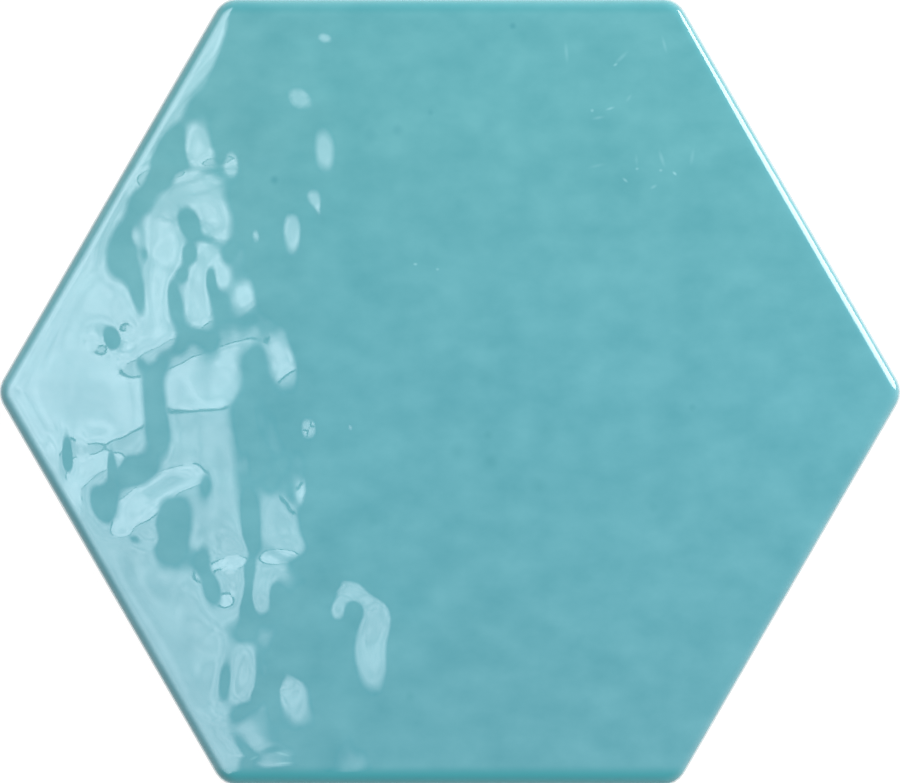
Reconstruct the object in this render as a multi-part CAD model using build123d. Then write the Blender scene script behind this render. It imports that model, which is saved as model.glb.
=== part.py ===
"""A glazed hexagon wall tile, pressed and fired as one piece.

It lies on its back, face up. The origin is the middle of the back, +Z points out of the glazed face,
two corners lie on the X axis and two straight sides lie square to the Y axis.
"""

import os
from math import ceil, cos, floor, pi, radians, sin, sqrt

from build123d import *

# Driving dimensions, in millimetres and degrees

# The outline at the back, where the tile is widest
across_flats = 153.0
corner_radius = 5.0

# The section: the sides lean in towards the face, and the face rolls over into them
thickness = 8.5
side_draft = 3.0
edge_roll_radius = 2.0
back_chamfer = 0.6

# The uneven hand-made face: low swells that cross one another at these headings
swell_height = 0.06
swell_length = 46.0
swell_headings = (12.0, 78.0, 141.0)
points_per_swell = 8

# The honeycomb of shallow cells pressed into the back as a key for the adhesive
cell_pitch = 14.0
cell_rib = 3.0
cell_depth = 0.7
cell_draft = 20.0
back_border = 7.0


def tile_blank():
    """The pressed blank: a hexagon with rounded corners and leaning sides, taller than the tile."""
    outline = RegularPolygon(across_flats / 2, 6, major_radius=False)
    outline = fillet(outline.vertices(), corner_radius)
    return extrude(outline, amount=2 * thickness, taper=side_draft)


def face_level(x, y):
    """Height of the face at a place: its mean level and one swell along each heading."""
    level = thickness
    for number, heading in enumerate(swell_headings):
        along = x * cos(radians(heading)) + y * sin(radians(heading))
        level += swell_height * sin(2 * pi * along / swell_length + number)
    return level


def space_above_face():
    """Everything above the swelling face, out past the corners of the blank."""
    spacing = swell_length / points_per_swell
    reach = across_flats / sqrt(3) + spacing
    steps = ceil(2 * reach / spacing)
    places = [-reach + 2 * reach * step / steps for step in range(steps + 1)]
    face = Face.make_surface_from_array_of_points(
        [[(x, y, face_level(x, y)) for x in places] for y in places],
        tol=swell_height / 50,
    )
    return extrude(face, amount=2 * thickness, dir=(0, 0, 1))


def cell_centres():
    """Rows of cell centres that fill a hexagon of whole rings inside the back's plain border."""
    cell_reach = (cell_pitch - cell_rib) / sqrt(3)
    ring_step = cell_pitch * sqrt(3) / 2
    rings = floor((across_flats / 2 - back_border - cell_reach) / ring_step)
    centres = []
    for row in range(-rings, rings + 1):
        in_row = 2 * rings + 1 - abs(row)
        first = -cell_pitch * (in_row - 1) / 2
        centres += [(first + cell_pitch * column, ring_step * row) for column in range(in_row)]
    return centres


def key_cells():
    """The cells' hollows, each narrower at its floor so that the die lets go of it."""
    mouth = RegularPolygon((cell_pitch - cell_rib) / 2, 6, major_radius=False, rotation=30)
    hollow = extrude(mouth, amount=cell_depth, taper=cell_draft)
    return [Pos(x, y, 0) * hollow for x, y in cell_centres()]


def hexagon_tile():
    """The finished tile: blank, swelling face, rolled edges, eased back and keyed back."""
    tile = tile_blank() - space_above_face()
    face = tile.faces().sort_by(Axis.Z)[-1]
    tile = fillet(face.edges(), edge_roll_radius)
    back = tile.faces().sort_by(Axis.Z)[0]
    tile = chamfer(back.edges(), back_chamfer)
    return tile - key_cells()


os.makedirs("parts", exist_ok=True)
tile = hexagon_tile()
export_step(tile, "parts/hexagon_tile.step")
print("hexagon_tile", tile.bounding_box().size, "volume", round(tile.volume))
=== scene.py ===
from math import cos, pi, radians, sin, sqrt, tan

import bpy
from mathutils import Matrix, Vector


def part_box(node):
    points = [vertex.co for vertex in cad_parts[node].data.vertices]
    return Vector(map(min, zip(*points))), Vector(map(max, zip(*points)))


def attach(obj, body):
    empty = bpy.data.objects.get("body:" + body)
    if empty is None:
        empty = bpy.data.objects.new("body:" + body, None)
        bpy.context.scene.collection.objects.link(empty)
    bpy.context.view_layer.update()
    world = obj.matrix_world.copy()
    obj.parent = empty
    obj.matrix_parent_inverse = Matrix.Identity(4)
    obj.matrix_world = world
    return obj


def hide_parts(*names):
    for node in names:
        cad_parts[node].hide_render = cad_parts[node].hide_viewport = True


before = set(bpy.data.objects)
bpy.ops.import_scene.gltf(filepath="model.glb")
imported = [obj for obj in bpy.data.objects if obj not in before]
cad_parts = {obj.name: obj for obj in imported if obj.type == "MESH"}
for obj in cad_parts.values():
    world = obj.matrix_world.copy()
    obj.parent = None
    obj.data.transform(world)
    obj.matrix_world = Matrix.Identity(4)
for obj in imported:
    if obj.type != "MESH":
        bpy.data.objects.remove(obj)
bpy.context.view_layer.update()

# The blank of the tile: stoneware clay pressed in a hexagonal die and fired.
# Its sides lean in towards the face, the face rolls over into them, and the back edge is eased.
# It is laid out here as rings of points, from the middle of the face out, over the edge and down.

MM = 0.001
CLAY_CORNER = 5.0 * MM
CLAY_LEAN = radians(3.0)
BACK_EASE = 0.6 * MM
FACE_LEVEL = 8.5 * MM
EDGE_ROLL = 2.0 * MM
FACE_RINGS = 136
ROLL_RINGS = 10
SIDE_RINGS = 20

# The outline at the very back, worked back from the widest place, which is just above the eased edge
HAIR = 0.02 * MM
_, node_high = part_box("hexagon_tile")
EASE_TOP = BACK_EASE * cos(CLAY_LEAN)
BACK_APOTHEM = node_high.y - HAIR + EASE_TOP * tan(CLAY_LEAN)

# The middle of the edge roll's round, seen in section, and the corner left inside it
ROLL_LEVEL = FACE_LEVEL - EDGE_ROLL
ROLL_START = BACK_APOTHEM - ROLL_LEVEL * tan(CLAY_LEAN) - EDGE_ROLL / cos(CLAY_LEAN)
ROLL_CORNER = CLAY_CORNER - (BACK_APOTHEM - ROLL_START)
ROLL_END = pi / 2 - CLAY_LEAN
ROLL_FOOT = ROLL_LEVEL + EDGE_ROLL * cos(ROLL_END)


def hexagon_points(apothem, corner, per_side):
    """Points round a hexagon with rounded corners, evenly spaced, each with its outward direction."""
    reach = 2 * (apothem - corner) / sqrt(3)
    half_bend = corner * pi / 6
    points = []
    for side in range(6):
        start, end = side * pi / 3, (side + 1) * pi / 3
        middle = start + pi / 6
        for step in range(per_side):
            along = (2 * half_bend + reach) * step / per_side
            if along < half_bend:
                out, share = start + along / corner, 0.0
            elif along < half_bend + reach:
                out, share = middle, (along - half_bend) / reach
            else:
                out, share = middle + (along - half_bend - reach) / corner, 1.0
            x = reach * (cos(start) * (1 - share) + cos(end) * share) + corner * cos(out)
            y = reach * (sin(start) * (1 - share) + sin(end) * share) + corner * sin(out)
            points.append((x, y, cos(out), sin(out)))
    return points


def blank_mesh():
    """The blank's face, rolled edge, sides and eased back edge, open at the back."""
    points, faces = [(0, 0, FACE_LEVEL)], []
    inner = [0]
    for ring in range(1, FACE_RINGS + 1):
        size = ring / FACE_RINGS
        first = len(points)
        for x, y, _, _ in hexagon_points(ROLL_START, ROLL_CORNER, ring):
            points.append((x * size, y * size, FACE_LEVEL))
        outer = list(range(first, len(points)))
        for side in range(6):
            for step in range(ring):
                here = outer[side * ring + step]
                ahead = outer[(side * ring + step + 1) % len(outer)]
                near = inner[(side * (ring - 1) + step) % len(inner)]
                faces.append((near, here, ahead))
                if step < ring - 1:
                    faces.append((near, ahead, inner[(side * (ring - 1) + step + 1) % len(inner)]))
        inner = outer

    # The section outside the face, as steps out from the roll's start and heights
    section = []
    for step in range(1, ROLL_RINGS + 1):
        turn = ROLL_END * step / ROLL_RINGS
        section.append((EDGE_ROLL * sin(turn), ROLL_LEVEL + EDGE_ROLL * cos(turn)))
    for step in range(1, SIDE_RINGS + 1):
        level = ROLL_FOOT + (EASE_TOP - ROLL_FOOT) * step / SIDE_RINGS
        section.append((BACK_APOTHEM - level * tan(CLAY_LEAN) - ROLL_START, level))
    section.append((BACK_APOTHEM - BACK_EASE - ROLL_START, 0.0))

    rim = hexagon_points(ROLL_START, ROLL_CORNER, FACE_RINGS)
    for step_out, level in section:
        first = len(points)
        points += [(x + step_out * out_x, y + step_out * out_y, level) for x, y, out_x, out_y in rim]
        outer = list(range(first, len(points)))
        for here in range(len(outer)):
            ahead = (here + 1) % len(outer)
            faces.append((inner[here], outer[here], outer[ahead], inner[ahead]))
        inner = outer

    mesh = bpy.data.meshes.new("glazed_tile")
    mesh.from_pydata(points, [], faces)
    return mesh


tile = bpy.data.objects.new("glazed_tile", blank_mesh())
bpy.context.scene.collection.objects.link(tile)

# The glaze: a turquoise glass melted over the face and part of the way down the sides.
# It is a little mottled and has dark specks, faint pale threads painted on as glints, painted shade along
# its lower and upper side, and over the rolled edge it thins and is painted paler as a highlight.
# Below its wavering lower line, and on the back, the bare clay body shows, pale and matt.

GLAZE_DEEP = (0.083, 0.374, 0.440, 1.0)
GLAZE_PALE = (0.125, 0.444, 0.512, 1.0)
GLAZE_SPOT = (0.060, 0.330, 0.385, 1.0)
# Painted glint colour, for the pale threads that stand for small reflections
GLAZE_GLINT_PAINT = (0.300, 0.660, 0.720, 1.0)
# Painted shade colour, for the darkening along the lower and upper side
GLAZE_EDGE_SHADE = (0.030, 0.335, 0.385, 1.0)
# Colour over the rolled edge: thinner glaze, painted paler than it is, partly as a painted highlight
GLAZE_THIN_AND_SHEEN = (0.500, 0.780, 0.820, 1.0)
CLAY_PALE = (0.600, 0.500, 0.440, 1.0)
CLAY_DARK = (0.470, 0.370, 0.315, 1.0)
GLAZE_ROUGHNESS = 0.028
GLAZE_IOR = 1.5
CLAY_ROUGHNESS = 0.85
CLOUD_SIZE = 6 * MM
CLOUD_DETAIL = 3.0
CLOUD_RANGE = (0.25, 0.75)
CLOUD_STRETCH = (0.75, 1.0, 1.0)
CLAY_GRAIN = 0.35 * MM
GRAIN_DETAIL = 4.0
GRAIN_RANGE = (0.35, 0.65)
GRAIN_BUMP = 0.5
GLAZE_BORDER = 0.06 * MM
# Where and how strongly the rolled edge is painted paler: partly thinner glaze, partly a painted highlight
THIN_AND_SHEEN_SHARE = 0.32
THIN_AND_SHEEN_START = FACE_LEVEL - 0.1 * EDGE_ROLL
THIN_AND_SHEEN_END = FACE_LEVEL - 0.75 * EDGE_ROLL
GLAZE_HEIGHT_NAME = "above_glaze_line"

# Tints that come in across the face: colour, axis (0 is X, 1 is Y), where it starts and is full
TINTS = (
    ((1.0, 1.01, 0.965, 1.0), 1, 0.0, 50 * MM),
    ((1.03, 0.975, 0.985, 1.0), 1, -10 * MM, -60 * MM),
    ((1.16, 1.0, 1.0, 1.0), 0, -20 * MM, -60 * MM),
)

# Painted shade along the lower and the upper side, where the face darkens towards its edge: from, to, and
# depth of colour
PAINTED_EDGE_SHADES = ((-72.2 * MM, -74.5 * MM, 1.0), (73.0 * MM, 74.4 * MM, 0.40))

# Soft dark spots and sharper specks: place and radius in millimetres, and depth of colour
SPOTS = (
    (12.2, 71.0, 1.0, 1.0),
    (-34.0, 41.1, 1.3, 0.8),
    (7.4, -8.4, 1.4, 0.5),
    (7.9, -13.6, 2.2, 0.45),
    (17.1, -18.2, 2.4, 0.35),
    (1.5, -11.4, 2.2, 0.3),
    (18.7, -7.4, 3.0, 0.25),
    (8.5, 9.2, 2.4, 0.25),
    (7.0, 3.0, 2.6, 0.25),
    (26.4, 26.7, 2.8, 0.2),
    (7.9, 52.0, 3.2, 0.3),
    (6.0, 67.5, 2.6, 0.25),
    (-10.2, 50.8, 1.6, 0.4),
    (-15.5, 49.6, 2.0, 0.3),
    (-3.8, 54.2, 0.9, 0.5),
    (39.5, -22.4, 1.5, 0.3),
    (47.0, -3.0, 1.0, 0.4),
    (-15.0, -25.0, 1.8, 0.25),
    (-7.7, -59.0, 1.4, 0.35),
)

# Painted glints, faint pale threads that stand for small reflections: middle, half length and half width in
# millimetres, heading in degrees, paleness
PAINTED_GLINTS = (
    (22.6, 65.9, 2.6, 0.6, 95, 0.25),
    (33.3, 64.9, 2.2, 0.6, 44, 0.25),
    (32.1, 63.5, 0.7, 0.4, 30, 0.5),
    (41.6, 67.4, 2.2, 0.5, -75, 0.25),
    (34.7, 57.0, 1.2, 0.5, 55, 0.2),
    (31.1, 55.0, 1.2, 0.4, 18, 0.5),
    (27.6, 54.6, 0.5, 0.5, 0, 0.5),
    (28.8, 53.2, 1.6, 0.5, 10, 0.25),
    (47.0, 45.6, 2.2, 0.6, 80, 0.2),
    (41.1, 45.3, 2.2, 0.6, -72, 0.3),
    (36.2, 45.0, 1.5, 0.5, -85, 0.15),
    (28.5, 43.9, 2.4, 0.5, 12, 0.15),
    (36.3, 43.3, 0.5, 0.4, 0, 0.45),
    (40.9, 43.0, 0.5, 0.4, 0, 0.5),
    (43.6, 42.4, 0.7, 0.4, -40, 0.8),
    (34.0, 41.1, 0.9, 0.4, -40, 0.5),
    (39.5, 39.8, 1.0, 0.5, 30, 0.35),
    (-6.7, 24.8, 0.6, 0.4, 0, 0.6),
    (-2.4, 23.8, 0.5, 0.4, 0, 0.45),
    (-38.0, -71.0, 1.3, 0.4, 25, 0.3),
    (-32.5, -70.2, 2.0, 0.4, -15, 0.4),
    (-32.2, -72.0, 2.4, 0.35, 3, 0.45),
)


def node(tree, kind, *inputs, **settings):
    """A node with its settings by name, and its first inputs set to values or linked to sockets."""
    made = tree.nodes.new(kind)
    for name, value in settings.items():
        setattr(made, name, value)
    for socket, value in zip(made.inputs, inputs):
        if isinstance(value, bpy.types.NodeSocket):
            tree.links.new(value, socket)
        else:
            socket.default_value = value
    return made


def sums(tree, operation, *terms):
    """A maths node's result on values or sockets."""
    return node(tree, "ShaderNodeMath", *terms, operation=operation).outputs[0]


def mixed(tree, share, start, end, blend="MIX"):
    """A colour between two others, or the first one blended with the second in another way."""
    mix = tree.nodes.new("ShaderNodeMix")
    mix.data_type = "RGBA"
    mix.blend_type = blend
    for place, value in ((0, share), (6, start), (7, end)):
        if isinstance(value, bpy.types.NodeSocket):
            tree.links.new(value, mix.inputs[place])
        else:
            mix.inputs[place].default_value = value
    return mix.outputs[2]


def ranged(tree, value, low, high, start=0.0, end=1.0, smooth=False):
    """A value taken from one range to another, and kept inside it."""
    kind = "SMOOTHSTEP" if smooth else "LINEAR"
    made = node(tree, "ShaderNodeMapRange", value, low, high, interpolation_type=kind)
    made.inputs[3].default_value = start
    made.inputs[4].default_value = end
    return made.outputs[0]


def cloud(tree, place, size, detail):
    """Soft noise, from 0 to 1, whose clouds are about this big."""
    noise = node(tree, "ShaderNodeTexNoise", noise_dimensions="3D")
    tree.links.new(place, noise.inputs["Vector"])
    noise.inputs["Scale"].default_value = 1 / size
    noise.inputs["Detail"].default_value = detail
    return noise.outputs[0]


def glaze_material():
    """Turquoise glaze over pale clay, divided by the height above the glaze's lower line."""
    material = bpy.data.materials.new("turquoise_glaze")
    material.use_nodes = True
    tree = material.node_tree
    shader = tree.nodes["Principled BSDF"]
    place = tree.nodes.new("ShaderNodeTexCoord").outputs["Object"]
    parts = node(tree, "ShaderNodeSeparateXYZ", place).outputs

    # Clouds drawn out along X, greener towards the top, rosier towards the bottom, warmer to the left
    drawn = node(tree, "ShaderNodeVectorMath", place, CLOUD_STRETCH, operation="MULTIPLY").outputs[0]
    clouds = ranged(tree, cloud(tree, drawn, CLOUD_SIZE, CLOUD_DETAIL), *CLOUD_RANGE)
    glaze = mixed(tree, clouds, GLAZE_DEEP, GLAZE_PALE)
    for tint, axis, start, full in TINTS:
        glaze = mixed(tree, ranged(tree, parts[axis], start, full), glaze, tint, "MULTIPLY")
    for x, y, radius, depth in SPOTS:
        centre = (x * MM, y * MM, FACE_LEVEL)
        away = node(tree, "ShaderNodeVectorMath", place, centre, operation="DISTANCE")
        dark = ranged(tree, away.outputs["Value"], 0.0, radius * MM, depth, 0.0, smooth=True)
        glaze = mixed(tree, dark, glaze, GLAZE_SPOT)
    # Painted glints: pale threads painted into the colour where the glaze would show small reflections
    for x, y, half_length, half_width, heading, paleness in PAINTED_GLINTS:
        away = node(tree, "ShaderNodeVectorMath", place, (x * MM, y * MM, 0.0), operation="SUBTRACT")
        turned = node(tree, "ShaderNodeVectorRotate", away.outputs[0], rotation_type="Z_AXIS", invert=True)
        turned.inputs["Angle"].default_value = radians(heading)
        shrink = (1 / (half_length * MM), 1 / (half_width * MM), 0.0)
        shares = node(tree, "ShaderNodeVectorMath", turned.outputs[0], shrink, operation="MULTIPLY")
        reach = node(tree, "ShaderNodeVectorMath", shares.outputs[0], operation="LENGTH")
        pale = ranged(tree, reach.outputs["Value"], 0.0, 1.0, paleness, 0.0, smooth=True)
        glaze = mixed(tree, pale, glaze, GLAZE_GLINT_PAINT)
    # Painted shade: the face is painted darker towards its lower and upper side
    for inner, outer, depth in PAINTED_EDGE_SHADES:
        edge_shade = ranged(tree, parts[1], inner, outer, 0.0, depth, smooth=True)
        glaze = mixed(tree, edge_shade, glaze, GLAZE_EDGE_SHADE)

    grain = cloud(tree, place, CLAY_GRAIN, GRAIN_DETAIL)
    clay = mixed(tree, ranged(tree, grain, *GRAIN_RANGE), CLAY_DARK, CLAY_PALE)

    # Over the rolled edge the glaze thins and is painted paler: partly thinner glaze, partly a painted
    # highlight
    thin_and_sheen = ranged(tree, parts[2], THIN_AND_SHEEN_START, THIN_AND_SHEEN_END, 0.0, THIN_AND_SHEEN_SHARE, smooth=True)
    glaze = mixed(tree, thin_and_sheen, glaze, GLAZE_THIN_AND_SHEEN)

    height = node(tree, "ShaderNodeAttribute", attribute_name=GLAZE_HEIGHT_NAME).outputs["Fac"]
    glazed = ranged(tree, height, -GLAZE_BORDER, GLAZE_BORDER)
    tree.links.new(mixed(tree, glazed, clay, glaze), shader.inputs["Base Color"])
    rough = ranged(tree, glazed, 0.0, 1.0, CLAY_ROUGHNESS, GLAZE_ROUGHNESS)
    tree.links.new(rough, shader.inputs["Roughness"])

    bare = sums(tree, "SUBTRACT", 1.0, glazed)
    bump = tree.nodes.new("ShaderNodeBump")
    bump.inputs["Distance"].default_value = CLAY_GRAIN
    tree.links.new(sums(tree, "MULTIPLY", bare, GRAIN_BUMP), bump.inputs["Strength"])
    tree.links.new(grain, bump.inputs["Height"])
    tree.links.new(bump.outputs["Normal"], shader.inputs["Normal"])
    shader.inputs["IOR"].default_value = GLAZE_IOR
    return material


# The uneven face and the keyed back: the face is pressed with a rough, hand-worked die, so it has low
# swells and many shallow marks, and the back has a honeycomb of shallow cells that the adhesive grips.
# The glaze ends on the sides in a wavering line with a slightly thick lip.

# Sizes in millimetres, with headings, drafts and angles in degrees
SWELL_HEIGHT = 0.06
SWELL_LENGTH = 46.0
SWELL_HEADINGS = (12.0, 78.0, 141.0)
RIPPLE_HEIGHT = 0.010
RIPPLE_SIZE = 3.0
RIPPLE_DETAIL = 1.0
RIPPLE_SEED = 7.0
SIDE_HEADINGS = (30.0, 90.0, 150.0)
CORNER_BLEND = 3.0
EDGE_FALL = 0.27
EDGE_FALL_WIDTH = 9.0
EDGE_FALL_POWER = 3.0
FACE_DROP = 0.10
GLAZE_LINE = 3.0
GLAZE_WAVER = 2.4
GLAZE_WAVER_SIZE = 14.0
GLAZE_WAVER_DETAIL = 2.0
GLAZE_LIP = 0.10
GLAZE_LIP_WIDTH = 0.45
CELL_PITCH = 14.0
CELL_RIB = 3.0
CELL_DEPTH = 0.7
CELL_DRAFT = 20.0
CELL_RINGS = 5
WELD_REACH = 0.01
CREASE_ANGLE = 15.0

# Each mark: its middle (x, y), half length along its heading, half width, heading, and slope there.
# A mark with slope above nought rises along its heading.
MARKS = (
    # The left side above the middle
    (-24.3, 68.7, 4, 1.5, 0, 0.05),
    (-46.5, 66, 4, 7, -30, 0.024),
    (-29.2, 57, 5.5, 2.8, 0, 0.045),
    (-49.8, 55.3, 3, 3, -30, -0.014),
    (-49.3, 48.7, 3.4, 3.8, 0, 0.034),
    (-24.2, 46.8, 4.7, 5.5, 0, 0.046),
    (-43.6, 46.4, 3.6, 2.2, 0, -0.026),
    (-40.6, 45.6, 1.8, 1.8, 0, -0.02),
    (-38, 45.6, 5, 3.5, 0, -0.014),
    (-39, 45.5, 3, 2.4, 0, -0.022),
    (-54.5, 45, 5, 3.2, -30, -0.03),
    (-44, 44.9, 4, 1.1, 0, -0.02),
    (-49, 43.6, 7.5, 2, 0, -0.045),
    (-42.5, 43.3, 1.6, 1.2, 0, 0.018),
    (-57.2, 42.3, 5.6, 2.8, -20, -0.034),
    (-59, 40, 7.5, 17, -30, -0.042),
    (-54.5, 38.5, 6, 2.6, 0, 0.022),
    (-26.2, 37.3, 3.6, 2.5, 0, 0.053),
    (-46.6, 36, 4.2, 5, 0, 0.02),
    (-25.2, 34, 1.3, 2.2, 15, 0.05),
    (-50.6, 33, 4.4, 2.8, 0, -0.05),
    (-30.5, 31, 4, 5.6, -3, 0.055),
    (-61.2, 30.2, 1.7, 1.6, 0, 0.024),
    (-37.4, 30.2, 1.8, 1.7, 0, 0.045),
    (-46.8, 29.4, 3.5, 1.4, 0, -0.038),
    (-42, 29.4, 2, 1.6, 0, -0.02),
    (-50.6, 27.2, 3, 3.2, 0, -0.05),
    (-43.5, 27, 2.5, 3, 0, -0.015),
    (-59, 26.6, 1.7, 1.8, 0, -0.034),
    (-61.4, 26.2, 1.4, 1.8, 0, -0.014),
    (-63, 25, 6, 6, 12, -0.035),
    (-52, 22.8, 2.5, 1.8, 0, -0.035),
    (-46.4, 22, 1.6, 3, 0, -0.03),
    (-44, 22, 2.6, 2.6, -25, 0.025),
    (-54.2, 20.5, 1.6, 3, 0, -0.022),
    (-39.6, 19, 4, 3.2, -20, 0.035),
    (-60, 17.5, 3.4, 5, 5, -0.05),
    (-53.4, 17, 4, 6.2, 0, -0.05),
    (-45.5, 16.5, 3, 4, 0, -0.02),
    (-42, 12.5, 5, 4, 0, -0.03),
    (-36.2, 12, 1.4, 1.8, 0, -0.012),
    (-34.5, 11.8, 2, 2, 0, -0.016),
    (-38.3, 11.5, 3, 3.4, 0, -0.028),
    (-45.5, 10.8, 2, 3.2, 0, -0.014),
    (-40.3, 10.5, 1.6, 2.6, 0, -0.014),
    (-65.5, 10.3, 5.5, 5.5, 90, -0.018),
    (-65.4, 10.3, 3.2, 2.4, 0, -0.08),
    (-42.6, 10.3, 3, 3, 0, -0.045),
    (-48.2, 10.2, 5.1, 3.3, 0, -0.085),
    (-52.3, 9.3, 3.5, 2.6, 0, -0.055),
    (-46, 8.6, 3.5, 2.4, 0, -0.018),
    (-55.6, 8.4, 3.6, 2, 0, -0.032),
    (-52.8, 7.8, 3, 2.2, 0, -0.014),
    (-50.5, 7.6, 4, 1.8, 0, -0.02),
    (-56, 7, 4.5, 3, 0, -0.05),
    (-60.5, 6.3, 2.5, 2.2, 0, -0.04),
    (-32.3, 5.6, 6, 4.5, -15, 0.056),
    (-41.8, 5, 6, 6, -15, 0.024),
    (-47.5, 0, 6.5, 9, 90, -0.022),
    # The left side below the middle
    (-57, -4.5, 4.8, 12, 8, -0.046),
    (-19.3, -6.9, 1.2, 0.8, 0, 0.05),
    (-27.3, -7, 2.7, 1.9, 0, 0.045),
    (-66, -11, 3.2, 9, 96, 0.025),
    (-69.5, -11.3, 2.6, 3.5, 90, 0.022),
    (-40.5, -12, 3.5, 13, 0, -0.02),
    (-38, -12, 3, 6, 0, -0.012),
    (-74.3, -12.5, 2.2, 4.5, 0, -0.1),
    (-65.8, -13.5, 1.3, 3, 0, -0.04),
    (-37.8, -14, 1.5, 3, 0, -0.012),
    (-36.2, -14, 2.6, 6, 0, -0.022),
    (-33.5, -14.5, 3.5, 4.5, 0, -0.02),
    (-61, -15.3, 7, 3.6, 0, -0.062),
    (-71.5, -16.3, 2.4, 1.9, 90, -0.03),
    (-47.3, -16.5, 2.4, 5, 0, -0.02),
    (-55.4, -18.2, 5, 2.2, 0, 0.028),
    (-57, -18.5, 5, 9, 113, -0.03),
    (-34.5, -18.8, 3.5, 2.2, 0, -0.012),
    (-28.7, -19.5, 1.8, 2.4, 0, 0.026),
    (-67.3, -22, 6.2, 5.2, 16, -0.06),
    (-31.8, -26.5, 4.5, 6.5, 5, 0.03),
    (-55, -27, 6, 6, -25, -0.05),
    (-61.4, -28.5, 3.4, 1.7, 0, -0.06),
    (-56, -29.5, 5.5, 3.5, 0, -0.03),
    (-38.8, -29.5, 2.7, 11.5, 0, -0.034),
    (-50.5, -30.5, 6, 5, -30, -0.06),
    (-47.5, -31, 3, 4, -30, -0.03),
    (-32.5, -32, 2.6, 4, 90, -0.06),
    (-41.8, -33, 2.4, 3, 90, -0.06),
    (-46, -37.5, 3.8, 6, 0, -0.05),
    (-19, -38.9, 5, 2.4, 0, 0.06),
    (-39.3, -39.5, 2.2, 4.5, 0, -0.04),
    # The lower left
    (-34.3, -40, 2.6, 3, 0, -0.03),
    (-40, -42, 4, 2.2, 0, -0.02),
    (-32, -42, 5, 4.5, 0, -0.045),
    (-21.7, -42.3, 3.4, 2.8, 0, 0.075),
    (-14, -43, 6.5, 4.2, -10, 0.07),
    (-36, -43.5, 3.5, 2.5, 0, -0.04),
    (-30.5, -44.5, 4, 4.5, 0, -0.018),
    (-40, -45.5, 7, 5, 0, -0.06),
    (-27.5, -47, 2.5, 2.5, 0, -0.012),
    (-27, -48, 4, 4.5, 0, -0.012),
    (-32, -49, 5.5, 5, 0, -0.035),
    (-15.3, -50.5, 6, 7.5, 5, 0.065),
    (-29.5, -54, 5, 2.2, 0, -0.035),
    (-37.4, -55, 1.6, 4.5, 0, -0.025),
    (-43.5, -55.5, 2.6, 5, -8, -0.045),
    (-35.5, -56, 4, 6, 0, -0.04),
    (-31, -57.3, 1.5, 1.2, -40, -0.03),
    (-34, -58, 2.5, 3.5, 0, -0.03),
    (-40, -61.3, 6, 2.2, 25, -0.04),
    (-29.2, -61.5, 3.4, 3.6, 10, 0.013),
    (-26, -68.5, 9, 4, 0, -0.012),
    (-40.5, -69, 4, 1.8, -25, -0.03),
    (-31.5, -70, 8, 4.5, 0, -0.018),
    (-37, -70.3, 5, 1.8, 0, -0.03),
    (-25.5, -72.5, 7, 2.5, 0, -0.012),
)


def new_tree(name, inputs, outputs):
    """A node group with named sockets, each given as its name and kind."""
    tree = bpy.data.node_groups.new(name, "GeometryNodeTree")
    for direction, sockets in (("INPUT", inputs), ("OUTPUT", outputs)):
        for label, kind in sockets:
            tree.interface.new_socket(label, in_out=direction, socket_type="NodeSocket" + kind)
    return tree, tree.nodes.new("NodeGroupInput").outputs, tree.nodes.new("NodeGroupOutput").inputs


def pressed_mark_tree():
    """The height that one mark adds at a place: a slope that dies away round the mark's middle."""
    numbers = ("Half length", "Half width", "Heading", "Slope")
    inputs = [("Place", "Vector"), ("Middle", "Vector")] + [(label, "Float") for label in numbers]
    tree, given, result = new_tree("pressed_mark", inputs, [("Height", "Float")])
    away = node(tree, "ShaderNodeVectorMath", given[0], given[1], operation="SUBTRACT")
    turned = node(tree, "ShaderNodeVectorRotate", away.outputs[0], rotation_type="Z_AXIS", invert=True)
    tree.links.new(given["Heading"], turned.inputs["Angle"])
    parts = node(tree, "ShaderNodeSeparateXYZ", turned.outputs[0]).outputs
    along = sums(tree, "DIVIDE", parts[0], given["Half length"])
    across = sums(tree, "DIVIDE", parts[1], given["Half width"])
    spread = sums(tree, "ADD", sums(tree, "MULTIPLY", along, along), sums(tree, "MULTIPLY", across, across))
    fade = sums(tree, "EXPONENT", sums(tree, "MULTIPLY", spread, -1.0))
    rise = sums(tree, "MULTIPLY", parts[0], given["Slope"])
    tree.links.new(sums(tree, "MULTIPLY", rise, fade), result[0])
    return tree


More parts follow.
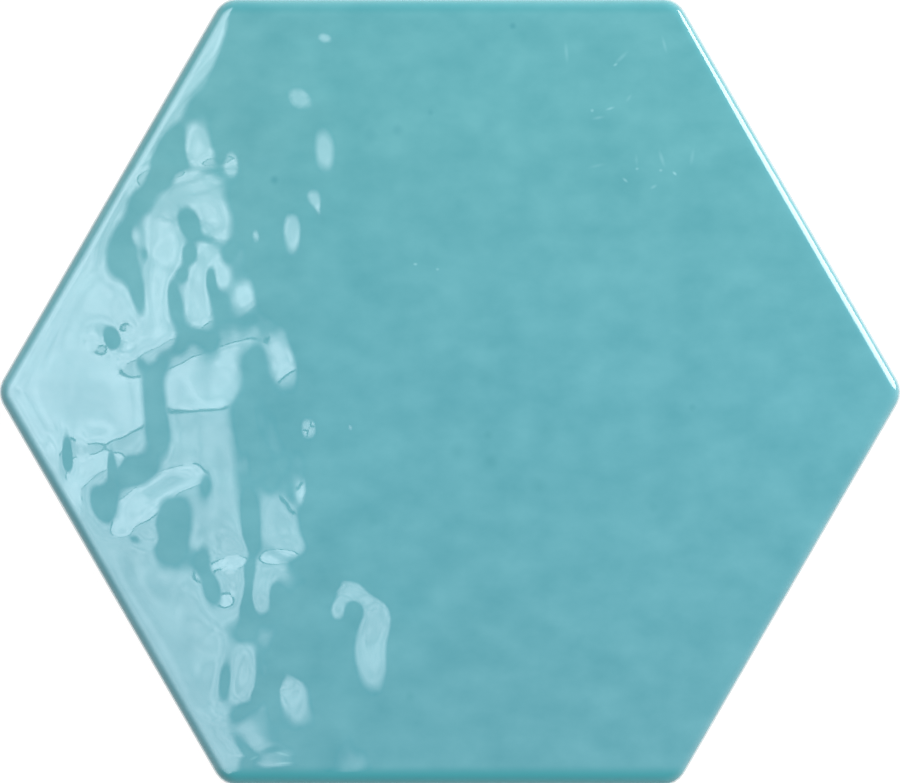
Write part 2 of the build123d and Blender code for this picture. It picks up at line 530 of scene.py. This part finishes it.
def face_relief(tree, place, given):
    """Height of the face above its mean level, in millimetres, at a place in millimetres."""
    total = sums(tree, "MULTIPLY", given["Face drop"], -1.0)
    for number, heading in enumerate(SWELL_HEADINGS):
        direction = (cos(radians(heading)), sin(radians(heading)), 0.0)
        along = node(tree, "ShaderNodeVectorMath", place, direction, operation="DOT_PRODUCT")
        turns = sums(tree, "DIVIDE", along.outputs["Value"], given["Swell length"])
        wave = sums(tree, "SINE", sums(tree, "MULTIPLY_ADD", turns, 2 * pi, float(number)))
        total = sums(tree, "MULTIPLY_ADD", wave, given["Swell height"], total)

    ripple = node(tree, "ShaderNodeTexNoise", noise_dimensions="4D")
    tree.links.new(place, ripple.inputs["Vector"])
    tree.links.new(given["Seed"], ripple.inputs["W"])
    tree.links.new(sums(tree, "DIVIDE", 1.0, given["Ripple size"]), ripple.inputs["Scale"])
    ripple.inputs["Detail"].default_value = RIPPLE_DETAIL
    total = sums(tree, "MULTIPLY_ADD", ripple.outputs[0], given["Ripple height"], total)

    # The face falls away gently towards each side, and smoothly round the corners
    farthest = None
    for heading in SIDE_HEADINGS:
        direction = (cos(radians(heading)), sin(radians(heading)), 0.0)
        reach = node(tree, "ShaderNodeVectorMath", place, direction, operation="DOT_PRODUCT")
        out = sums(tree, "ABSOLUTE", reach.outputs["Value"])
        farthest = out if farthest is None else sums(tree, "SMOOTH_MAX", farthest, out, CORNER_BLEND)
    inset = sums(tree, "SUBTRACT", BACK_APOTHEM / MM, farthest)
    share = sums(tree, "DIVIDE", inset, given["Edge fall width"])
    near_edge = sums(tree, "MAXIMUM", sums(tree, "SUBTRACT", 1.0, share), 0.0)
    eased = sums(tree, "POWER", near_edge, EDGE_FALL_POWER)
    fall = sums(tree, "MULTIPLY", eased, given["Edge fall"])
    total = sums(tree, "SUBTRACT", total, fall)

    mark_tree = pressed_mark_tree()
    for x, y, half_length, half_width, heading, slope in MARKS:
        mark = node(tree, "GeometryNodeGroup", place, (x, y, 0.0), node_tree=mark_tree)
        for label, value in (
            ("Half length", half_length),
            ("Half width", half_width),
            ("Heading", radians(heading)),
            ("Slope", slope),
        ):
            mark.inputs[label].default_value = value
        total = sums(tree, "ADD", total, mark.outputs[0])
    return total


def keyed_back(tree, rim, given):
    """The back inside its rim: a flat face with a honeycomb of shallow cells with leaning walls."""
    pitch = sums(tree, "MULTIPLY", given["Cell pitch"], MM)
    clear_width = sums(tree, "SUBTRACT", given["Cell pitch"], given["Cell rib"])
    mouth = sums(tree, "MULTIPLY", clear_width, MM / sqrt(3))
    depth = sums(tree, "MULTIPLY", given["Cell depth"], MM)
    lean = sums(tree, "TANGENT", sums(tree, "RADIANS", given["Cell draft"]))
    wall_lean = sums(tree, "MULTIPLY", depth, lean)
    floor_reach = sums(tree, "SUBTRACT", mouth, sums(tree, "MULTIPLY", wall_lean, 2 / sqrt(3)))

    # A lattice of cell middles: a square grid sheared to rows half a pitch apart, cut to a hexagon
    across = sums(tree, "MULTIPLY", given["Cell rings"], 2.0)
    count = sums(tree, "ADD", across, 1.0)
    grid = node(tree, "GeometryNodeMeshGrid", across, across, count, count)
    position = tree.nodes.new("GeometryNodeInputPosition").outputs[0]
    steps = node(tree, "ShaderNodeSeparateXYZ", position).outputs
    from_corner = sums(tree, "ABSOLUTE", sums(tree, "ADD", steps[0], steps[1]))
    outside = sums(tree, "GREATER_THAN", from_corner, sums(tree, "ADD", given["Cell rings"], 0.5))
    kept = node(tree, "GeometryNodeDeleteGeometry", grid.outputs[0], outside)
    shear = sums(tree, "MULTIPLY_ADD", steps[1], 0.5, steps[0])
    where = node(tree, "ShaderNodeCombineXYZ")
    tree.links.new(sums(tree, "MULTIPLY", shear, pitch), where.inputs[0])
    rows = sums(tree, "MULTIPLY", steps[1], pitch)
    tree.links.new(sums(tree, "MULTIPLY", rows, sqrt(3) / 2), where.inputs[1])
    middles = node(tree, "GeometryNodeSetPosition", kept.outputs[0])
    tree.links.new(where.outputs[0], middles.inputs["Position"])

    def at_each_middle(shape):
        spread = node(tree, "GeometryNodeInstanceOnPoints", middles.outputs[0])
        tree.links.new(shape, spread.inputs["Instance"])
        spread.inputs["Rotation"].default_value = (0.0, 0.0, pi / 6)
        return node(tree, "GeometryNodeRealizeInstances", spread.outputs[0]).outputs[0]

    ring = node(tree, "GeometryNodeCurvePrimitiveCircle")
    ring.inputs["Resolution"].default_value = 6
    tree.links.new(mouth, ring.inputs["Radius"])
    borders = tree.nodes.new("GeometryNodeJoinGeometry")
    tree.links.new(at_each_middle(ring.outputs[0]), borders.inputs[0])
    tree.links.new(rim, borders.inputs[0])
    flat = node(tree, "GeometryNodeFillCurve", borders.outputs[0])

    hollow = node(tree, "GeometryNodeMeshCone", fill_type="NGON")
    hollow.inputs["Vertices"].default_value = 6
    tree.links.new(floor_reach, hollow.inputs["Radius Top"])
    tree.links.new(mouth, hollow.inputs["Radius Bottom"])
    tree.links.new(depth, hollow.inputs["Depth"])
    open_hollow = node(tree, "GeometryNodeDeleteGeometry", hollow.outputs[0])
    open_hollow.domain = "FACE"
    open_hollow.mode = "ONLY_FACE"
    tree.links.new(hollow.outputs["Bottom"], open_hollow.inputs["Selection"])

    back = tree.nodes.new("GeometryNodeJoinGeometry")
    tree.links.new(flat.outputs[0], back.inputs[0])
    tree.links.new(at_each_middle(open_hollow.outputs[0]), back.inputs[0])
    return node(tree, "GeometryNodeFlipFaces", back.outputs[0]).outputs[0]


def tile_tree(material):
    """The finished tile from its blank: uneven face, glaze lip on the sides, and keyed back."""
    sizes = {
        "Swell height": SWELL_HEIGHT,
        "Swell length": SWELL_LENGTH,
        "Ripple height": RIPPLE_HEIGHT,
        "Ripple size": RIPPLE_SIZE,
        "Edge fall": EDGE_FALL,
        "Edge fall width": EDGE_FALL_WIDTH,
        "Face drop": FACE_DROP,
        "Glaze line": GLAZE_LINE,
        "Glaze waver": GLAZE_WAVER,
        "Glaze waver size": GLAZE_WAVER_SIZE,
        "Glaze lip": GLAZE_LIP,
        "Glaze lip width": GLAZE_LIP_WIDTH,
        "Cell pitch": CELL_PITCH,
        "Cell rib": CELL_RIB,
        "Cell depth": CELL_DEPTH,
        "Cell draft": CELL_DRAFT,
        "Cell rings": float(CELL_RINGS),
        "Seed": RIPPLE_SEED,
    }
    inputs = [("Geometry", "Geometry")] + [(label, "Float") for label in sizes]
    tree, given, result = new_tree("uneven_face_and_keyed_back", inputs, [("Geometry", "Geometry")])

    position = tree.nodes.new("GeometryNodeInputPosition").outputs[0]
    place = node(tree, "ShaderNodeVectorMath", position, operation="SCALE")
    place.inputs["Scale"].default_value = 1 / MM
    place = place.outputs[0]
    parts = node(tree, "ShaderNodeSeparateXYZ", place).outputs

    # Full relief on the face, fading to none at the foot of the roll
    on_face = ranged(tree, parts[2], ROLL_FOOT / MM, FACE_LEVEL / MM)
    relief = sums(tree, "MULTIPLY", face_relief(tree, place, given), on_face)
    lift = node(tree, "ShaderNodeCombineXYZ")
    tree.links.new(sums(tree, "MULTIPLY", relief, MM), lift.inputs[2])

    # The glaze's lower line, and its thick lip, which stands out from the side
    waver = node(tree, "ShaderNodeTexNoise", noise_dimensions="4D")
    tree.links.new(place, waver.inputs["Vector"])
    tree.links.new(given["Seed"], waver.inputs["W"])
    tree.links.new(sums(tree, "DIVIDE", 1.0, given["Glaze waver size"]), waver.inputs["Scale"])
    waver.inputs["Detail"].default_value = GLAZE_WAVER_DETAIL
    sway = sums(tree, "MULTIPLY", sums(tree, "SUBTRACT", waver.outputs[0], 0.5), given["Glaze waver"])
    above = sums(tree, "SUBTRACT", parts[2], sums(tree, "ADD", given["Glaze line"], sway))
    above_lip = sums(tree, "SUBTRACT", above, given["Glaze lip width"])
    from_lip = sums(tree, "DIVIDE", above_lip, given["Glaze lip width"])
    lip = sums(tree, "EXPONENT", sums(tree, "MULTIPLY", sums(tree, "MULTIPLY", from_lip, from_lip), -1.0))
    on_side = sums(tree, "LESS_THAN", parts[2], ROLL_FOOT / MM)
    normal = tree.nodes.new("GeometryNodeInputNormal").outputs[0]
    out = node(tree, "ShaderNodeVectorMath", normal, operation="NORMALIZE")
    proud = sums(tree, "MULTIPLY", sums(tree, "MULTIPLY", lip, on_side), given["Glaze lip"])
    swell = node(tree, "ShaderNodeVectorMath", out.outputs[0], operation="SCALE")
    tree.links.new(sums(tree, "MULTIPLY", proud, MM), swell.inputs["Scale"])
    offset = node(tree, "ShaderNodeVectorMath", lift.outputs[0], swell.outputs[0], operation="ADD")

    named = node(tree, "GeometryNodeStoreNamedAttribute", given[0], data_type="FLOAT", domain="POINT")
    named.inputs["Name"].default_value = GLAZE_HEIGHT_NAME
    tree.links.new(sums(tree, "MULTIPLY", above, MM), named.inputs["Value"])
    moved = node(tree, "GeometryNodeSetPosition", named.outputs[0])
    tree.links.new(offset.outputs[0], moved.inputs["Offset"])

    # The blank's open edge becomes the rim that the back is filled from
    open_edge = node(tree, "FunctionNodeCompare", data_type="INT", operation="EQUAL")
    tree.links.new(tree.nodes.new("GeometryNodeInputMeshEdgeNeighbors").outputs[0], open_edge.inputs[2])
    open_edge.inputs[3].default_value = 1
    rim = node(tree, "GeometryNodeMeshToCurve", given[0], open_edge.outputs[0])
    whole = tree.nodes.new("GeometryNodeJoinGeometry")
    back = node(tree, "GeometryNodeStoreNamedAttribute", data_type="FLOAT", domain="POINT")
    tree.links.new(keyed_back(tree, rim.outputs[0], given), back.inputs[0])
    back.inputs["Name"].default_value = GLAZE_HEIGHT_NAME
    back.inputs["Value"].default_value = -GLAZE_LINE * MM
    tree.links.new(back.outputs[0], whole.inputs[0])
    tree.links.new(moved.outputs[0], whole.inputs[0])
    closed = node(tree, "GeometryNodeMergeByDistance", whole.outputs[0])
    closed.inputs["Distance"].default_value = WELD_REACH * MM

    # Smooth everywhere but at the edges that are really sharp
    smooth = node(tree, "GeometryNodeSetShadeSmooth", closed.outputs[0], domain="FACE")
    bend = tree.nodes.new("GeometryNodeInputMeshEdgeAngle").outputs[0]
    creased = node(tree, "GeometryNodeSetShadeSmooth", smooth.outputs[0], domain="EDGE")
    sharp = sums(tree, "GREATER_THAN", bend, radians(CREASE_ANGLE))
    tree.links.new(sharp, creased.inputs["Selection"])
    creased.inputs["Shade Smooth"].default_value = False
    real = node(tree, "GeometryNodeRealizeInstances", creased.outputs[0])
    finished = node(tree, "GeometryNodeSetMaterial", real.outputs[0])
    finished.inputs["Material"].default_value = material
    tree.links.new(finished.outputs[0], result[0])
    return tree, sizes


turquoise_glaze = glaze_material()
tile_nodes, tile_sizes = tile_tree(turquoise_glaze)
maker = tile.modifiers.new("uneven_face_and_keyed_back", "NODES")
maker.node_group = tile_nodes
for item in tile_nodes.interface.items_tree:
    if item.in_out == "INPUT" and item.name in tile_sizes:
        maker[item.identifier] = tile_sizes[item.name]
evaluated = tile.evaluated_get(bpy.context.evaluated_depsgraph_get())
tile_mesh = bpy.data.meshes.new_from_object(evaluated)
tile.modifiers.remove(maker)
tile.data = tile_mesh
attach(tile, "root")
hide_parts("hexagon_tile")

# The stage: a white floor, a big soft panel with a crossbar to the left, a narrow strip at the upper
# right, soft light from all round, and a camera far above that looks straight down.

# The panel, in metres: its outline before it is turned, and where its light fades at the inner edges
PANEL_LEVEL = 0.5
PANEL_TURN = radians(10.8)
PANEL_OUTLINE = (
    (-0.75, 0.50),
    (-0.040, 0.50),
    (-0.040, -0.091),
    (-0.243, -0.307),
    (-0.75, -0.307),
)
PANEL_EDGE = -0.050
PANEL_SLANT = (0.729, -0.684, 0.0)
PANEL_SLANT_AWAY = 0.023
PANEL_SOFT = 0.010
PANEL_RIM = 0.13

# Its light: tint, clouds, fading with distance, and a gleam and a dull place (middle, reach, share)
PANEL_TINT = (1.0, 1.05, 1.135, 1.0)
PANEL_CLOUD = 0.014
PANEL_CLOUD_DETAIL = 2.0
PANEL_CLOUD_RANGE = (0.3, 0.7)
PANEL_UNEVEN = 0.22
PANEL_FADE_START = 0.22
PANEL_FADE_END = 0.60
PANEL_FADED = 0.35
PANEL_GLEAM = ((-0.17, 0.08, 0.0), 0.14, 1.22)
PANEL_DULL = ((-0.062, 0.075, 0.0), 0.042, 0.62)
PANEL_UPPER_LIGHT = 7.45
PANEL_LOWER_LIGHT = 5.4

# The line between its upper and lower light: place and softness far out, and beside the crossbar
DIVIDE_FAR = -0.15
DIVIDE_NEAR = -0.09
DIVIDE_PLACES = (-0.030, 0.0047)
DIVIDE_SOFTNESS = (0.10, 0.002)
CROSSBAR = ((-0.095, 0.0025), (-0.095, 0.0069), (-0.050, 0.0069), (-0.050, 0.0025))
CROSSBAR_LIGHT = 1.0
CROSSBAR_GAP = 0.001

# The strip stands upright, and its outline runs sideways and up
STRIP_LIGHT = 16.0
STRIP_AWAY = 0.50
STRIP_HEADING = radians(30.0)
STRIP_OUTLINE = (
    (-0.22, 0.12),
    (-0.12, 0.0),
    (0.075, 0.0),
    (0.16, 0.10),
    (0.05, 0.24),
    (0.0, 0.52),
    (-0.05, 0.62),
    (-0.12, 0.50),
)
STRIP_FULL = 0.28
STRIP_END = 0.66
STRIP_END_LIGHT = 0.5


def stage_sheet(name, corners, material, faces=None):
    """A flat sheet, of one face unless more are given."""
    mesh = bpy.data.meshes.new(name)
    mesh.from_pydata(corners, [], faces or [tuple(range(len(corners)))])
    sheet = bpy.data.objects.new(name, mesh)
    bpy.context.scene.collection.objects.link(sheet)
    mesh.materials.append(material)
    return sheet


def glow_material(name, strength, tint=(1.0, 1.0, 1.0, 1.0)):
    """An even glow."""
    material = bpy.data.materials.new(name)
    material.use_nodes = True
    tree = material.node_tree
    tree.nodes.clear()
    glow = tree.nodes.new("ShaderNodeEmission")
    glow.inputs["Color"].default_value = tint
    glow.inputs["Strength"].default_value = strength
    tree.links.new(glow.outputs[0], tree.nodes.new("ShaderNodeOutputMaterial").inputs["Surface"])
    return material


def mirrored(sheet):
    """Let a sheet show only in the glaze's reflections."""
    sheet.visible_camera = False
    sheet.visible_diffuse = False
    sheet.visible_transmission = False
    sheet.visible_shadow = False


# The panel is brighter above its crossbar than below, sharply by the bar and softly farther out.
# Its daylight is a little cloudy, with a gleam and a dull place, and fades at its inner edges and far end.
panel_glow = glow_material("panel", PANEL_UPPER_LIGHT, PANEL_TINT)
tree = panel_glow.node_tree
place = tree.nodes.new("ShaderNodeTexCoord").outputs["Object"]
spot = node(tree, "ShaderNodeSeparateXYZ", place).outputs
middle = ranged(tree, spot[0], DIVIDE_FAR, DIVIDE_NEAR, *DIVIDE_PLACES)
spread = ranged(tree, spot[0], DIVIDE_FAR, DIVIDE_NEAR, *DIVIDE_SOFTNESS)
above = sums(tree, "DIVIDE", sums(tree, "SUBTRACT", spot[1], middle), spread)
level = ranged(tree, above, -0.5, 0.5, PANEL_LOWER_LIGHT, PANEL_UPPER_LIGHT, smooth=True)
clouds = cloud(tree, place, PANEL_CLOUD, PANEL_CLOUD_DETAIL)
uneven = ranged(tree, clouds, *PANEL_CLOUD_RANGE, 1 - PANEL_UNEVEN, 1 + PANEL_UNEVEN)
away = node(tree, "ShaderNodeVectorMath", place, operation="LENGTH").outputs["Value"]
faded = ranged(tree, away, PANEL_FADE_START, PANEL_FADE_END, 1.0, PANEL_FADED)
shares = [uneven, faded]
for centre, reach, share in (PANEL_GLEAM, PANEL_DULL):
    away = node(tree, "ShaderNodeVectorMath", place, centre, operation="DISTANCE").outputs["Value"]
    shares.append(ranged(tree, away, 0.0, reach, share, 1.0, smooth=True))
straight = sums(tree, "SUBTRACT", spot[0], PANEL_EDGE)
along_slant = node(tree, "ShaderNodeVectorMath", place, PANEL_SLANT, operation="DOT_PRODUCT")
slanting = sums(tree, "SUBTRACT", along_slant.outputs["Value"], PANEL_SLANT_AWAY)
beyond = sums(tree, "MAXIMUM", straight, slanting)
shares.append(ranged(tree, beyond, -PANEL_SOFT, PANEL_SOFT, 1.0, PANEL_RIM, smooth=True))
for share in shares:
    level = sums(tree, "MULTIPLY", level, share)
tree.links.new(level, tree.nodes["Emission"].inputs["Strength"])
panel = stage_sheet("panel", [(x, y, 0.0) for x, y in PANEL_OUTLINE], panel_glow)
crossbar_glow = glow_material("crossbar", CROSSBAR_LIGHT)
crossbar = stage_sheet("crossbar", [(x, y, 0.0) for x, y in CROSSBAR], crossbar_glow)
for sheet, level in ((panel, PANEL_LEVEL), (crossbar, PANEL_LEVEL - CROSSBAR_GAP)):
    sheet.location.z = level
    sheet.rotation_euler.z = PANEL_TURN
    mirrored(sheet)

strip_corners = []
for aside, level in STRIP_OUTLINE:
    x = STRIP_AWAY * cos(STRIP_HEADING) - aside * sin(STRIP_HEADING)
    y = STRIP_AWAY * sin(STRIP_HEADING) + aside * cos(STRIP_HEADING)
    strip_corners.append((x, y, level))
strip_glow = glow_material("strip", STRIP_LIGHT)
tree = strip_glow.node_tree
place = tree.nodes.new("ShaderNodeTexCoord").outputs["Object"]
spot = node(tree, "ShaderNodeSeparateXYZ", place).outputs
level = ranged(tree, spot[2], STRIP_FULL, STRIP_END, STRIP_LIGHT, STRIP_END_LIGHT, smooth=True)
tree.links.new(level, tree.nodes["Emission"].inputs["Strength"])
mirrored(stage_sheet("strip", strip_corners, strip_glow))

# The floor: its colour for bouncing light, and its colour and lift to white where it is seen
FLOOR_SIZE = 20.0
FLOOR_COLOUR = (0.8, 0.8, 0.8, 1.0)
FLOOR_SEEN_COLOUR = (0.15, 0.15, 0.15, 1.0)
FLOOR_LIFT = 0.95


def seen_directly(tree):
    """One for rays from the camera, mirrors and glass, and nought for the light that bounces about."""
    path = tree.nodes.new("ShaderNodeLightPath").outputs
    direct = sums(tree, "MAXIMUM", path["Is Camera Ray"], path["Is Glossy Ray"])
    return sums(tree, "MAXIMUM", direct, path["Is Transmission Ray"])


floor_white = bpy.data.materials.new("floor_white")
floor_white.use_nodes = True
tree = floor_white.node_tree
tree.nodes.clear()
plain = tree.nodes.new("ShaderNodeBsdfDiffuse")
plain.inputs["Color"].default_value = FLOOR_COLOUR
dim = tree.nodes.new("ShaderNodeBsdfDiffuse")
dim.inputs["Color"].default_value = FLOOR_SEEN_COLOUR
lift = tree.nodes.new("ShaderNodeEmission")
lift.inputs["Strength"].default_value = FLOOR_LIFT
lifted = tree.nodes.new("ShaderNodeAddShader")
tree.links.new(dim.outputs[0], lifted.inputs[0])
tree.links.new(lift.outputs[0], lifted.inputs[1])
chosen = tree.nodes.new("ShaderNodeMixShader")
tree.links.new(seen_directly(tree), chosen.inputs[0])
tree.links.new(plain.outputs[0], chosen.inputs[1])
tree.links.new(lifted.outputs[0], chosen.inputs[2])
one_sided = tree.nodes.new("ShaderNodeMixShader")
tree.links.new(tree.nodes.new("ShaderNodeNewGeometry").outputs["Backfacing"], one_sided.inputs[0])
tree.links.new(chosen.outputs[0], one_sided.inputs[1])
tree.links.new(tree.nodes.new("ShaderNodeBsdfTransparent").outputs[0], one_sided.inputs[2])
tree.links.new(one_sided.outputs[0], tree.nodes.new("ShaderNodeOutputMaterial").inputs["Surface"])

# The floor is open under the tile and clear from below, so the tile's back can be seen from there
opening = hexagon_points(BACK_APOTHEM - BACK_EASE, CLAY_CORNER - BACK_EASE, FACE_RINGS)
inner_edge = [(x, y, 0.0) for x, y, _, _ in opening]
spread = FLOOR_SIZE / (2 * BACK_APOTHEM)
outer_edge = [(x * spread, y * spread, 0.0) for x, y, _ in inner_edge]
count = len(inner_edge)
floor_faces = []
for here in range(count):
    ahead = (here + 1) % count
    floor_faces.append((here, count + here, count + ahead, ahead))
stage_sheet("floor", inner_edge + outer_edge, floor_white, floor_faces)

# The sky lights the tile softly, and is plain white where it is seen
SKY_LIGHT = 0.42
sky = bpy.data.worlds.new("soft_sky")
bpy.context.scene.world = sky
sky.use_nodes = True
background = sky.node_tree.nodes["Background"]
background.inputs["Color"].default_value = (1.0, 1.0, 1.0, 1.0)
strength = ranged(sky.node_tree, seen_directly(sky.node_tree), 0.0, 1.0, SKY_LIGHT, 1.0)
sky.node_tree.links.new(strength, background.inputs["Strength"])

# One broad lamp gives the tile its soft shadow
KEY_PLACE = (0.60, 0.62, 0.95)
KEY_SIZE = 0.8
KEY_WATTS = 15.0
key_light = bpy.data.lights.new("key_light", "AREA")
key_light.size = KEY_SIZE
key_light.energy = KEY_WATTS
key = bpy.data.objects.new("key_light", key_light)
bpy.context.scene.collection.objects.link(key)
key.location = KEY_PLACE
key.rotation_mode = "QUATERNION"
key.rotation_quaternion = key.location.to_track_quat("Z", "Y")
key.visible_glossy = False

# The camera frames the tile closely: the picture is as wide as VIEW_WIDTH at the floor
CAMERA_LEVEL = 4.0
VIEW_WIDTH = 174.95 * MM
VIEW_CENTRE = (0.02 * MM, 0.10 * MM)
lens = bpy.data.cameras.new("camera")
lens.lens = lens.sensor_width * CAMERA_LEVEL / VIEW_WIDTH
camera = bpy.data.objects.new("camera", lens)
bpy.context.scene.collection.objects.link(camera)
camera.location = (*VIEW_CENTRE, CAMERA_LEVEL)
bpy.context.scene.camera = camera
bpy.context.scene.view_settings.view_transform = "Standard"
